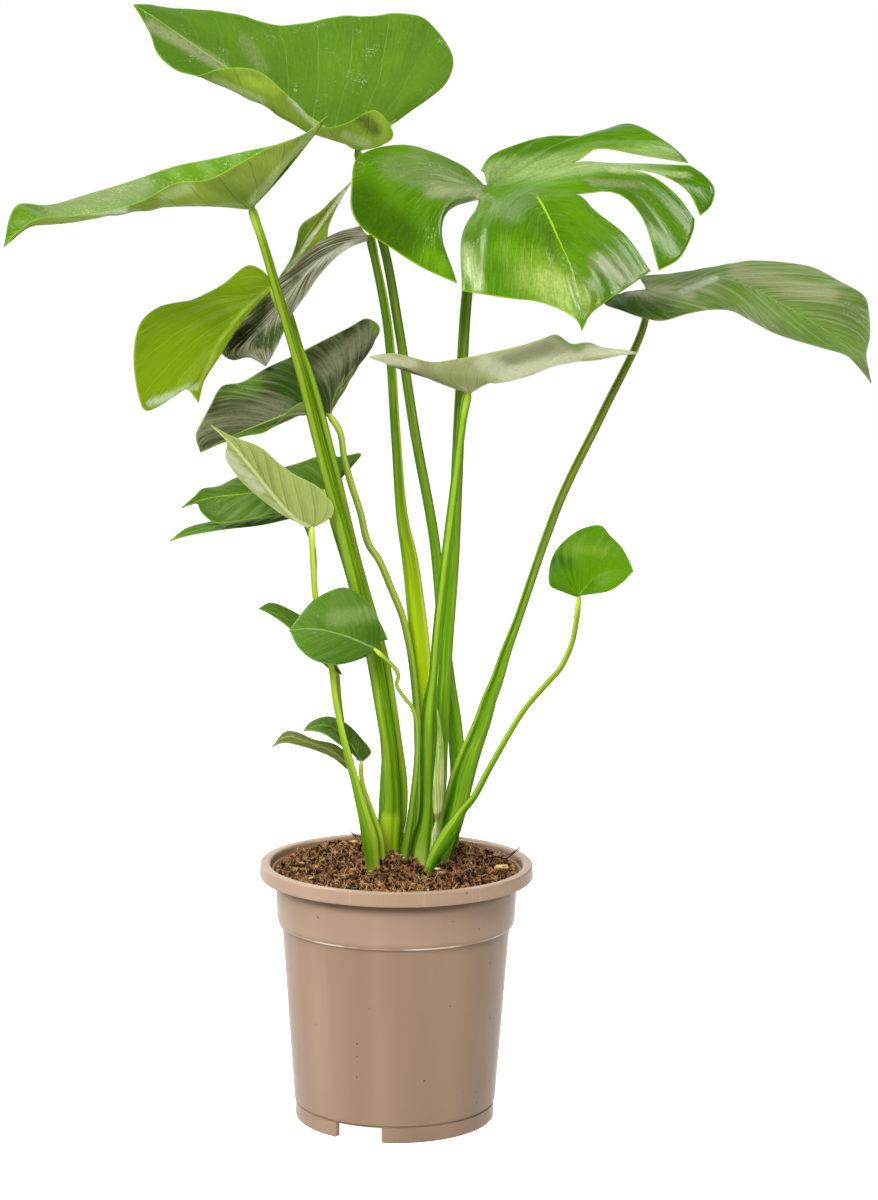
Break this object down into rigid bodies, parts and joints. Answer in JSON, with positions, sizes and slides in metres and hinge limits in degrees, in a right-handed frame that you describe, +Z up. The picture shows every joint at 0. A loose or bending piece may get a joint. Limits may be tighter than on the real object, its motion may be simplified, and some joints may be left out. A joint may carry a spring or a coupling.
{
  "type": "potted monstera plant",
  "caption": "Young monstera in a taupe plastic nursery pot, with one split leaf, smaller whole leaves, long sheathed stalks and dark soil.",
  "frame": {"origin": "on the floor, under the middle of the bounding box of the whole plant", "axes": "+Z up along the height of the plant; -Y towards the front that the split leaf faces; +X to its right"},
  "size_m": [0.5882, 0.2014, 0.7666],
  "materials": {
    "pot": "satin moulded plastic",
    "soil": "crumbly peat and coir",
    "dry_sheath": "thin papery skin",
    "stalk": "smooth waxy",
    "leaf": "glossy waxy",
    "leaf_yellow": "satin, young leaf",
    "leaf_underside": "satin pale underside"
  },
  "bodies": {
    "root": {"pot": "pot", "soil": "soil", "dry_sheath": "dry_sheath", "top_stalk": "stalk", "top_leaf": "leaf", "left_stalk": "stalk", "left_leaf": "leaf", "split_stalk": "stalk", "split_leaf": "leaf", "right_stalk": "stalk", "right_leaf": "leaf", "middle_stalk": "stalk", "middle_leaf": "leaf_underside", "yellow_stalk": "stalk", "yellow_leaf": "leaf_yellow", "strap_stalk": "stalk", "strap_leaf": "leaf", "upright_stalk": "stalk", "upright_leaf": "leaf", "dark_stalk": "stalk", "dark_leaf": "leaf", "pale_stalk": "stalk", "pale_leaf": "leaf_underside", "green_stalk": "stalk", "green_leaf": "leaf", "thin_stalk": "stalk", "thin_leaf": "leaf", "front_stalk": "stalk", "front_leaf": "leaf", "hidden_stalk": "stalk", "hidden_leaf": "leaf", "upper_small_stalk": "stalk", "upper_small_leaf": "leaf", "lower_small_stalk": "stalk", "lower_small_leaf": "leaf_underside", "heart_stalk": "stalk", "heart_leaf": "leaf"}
  },
  "joints": []
}
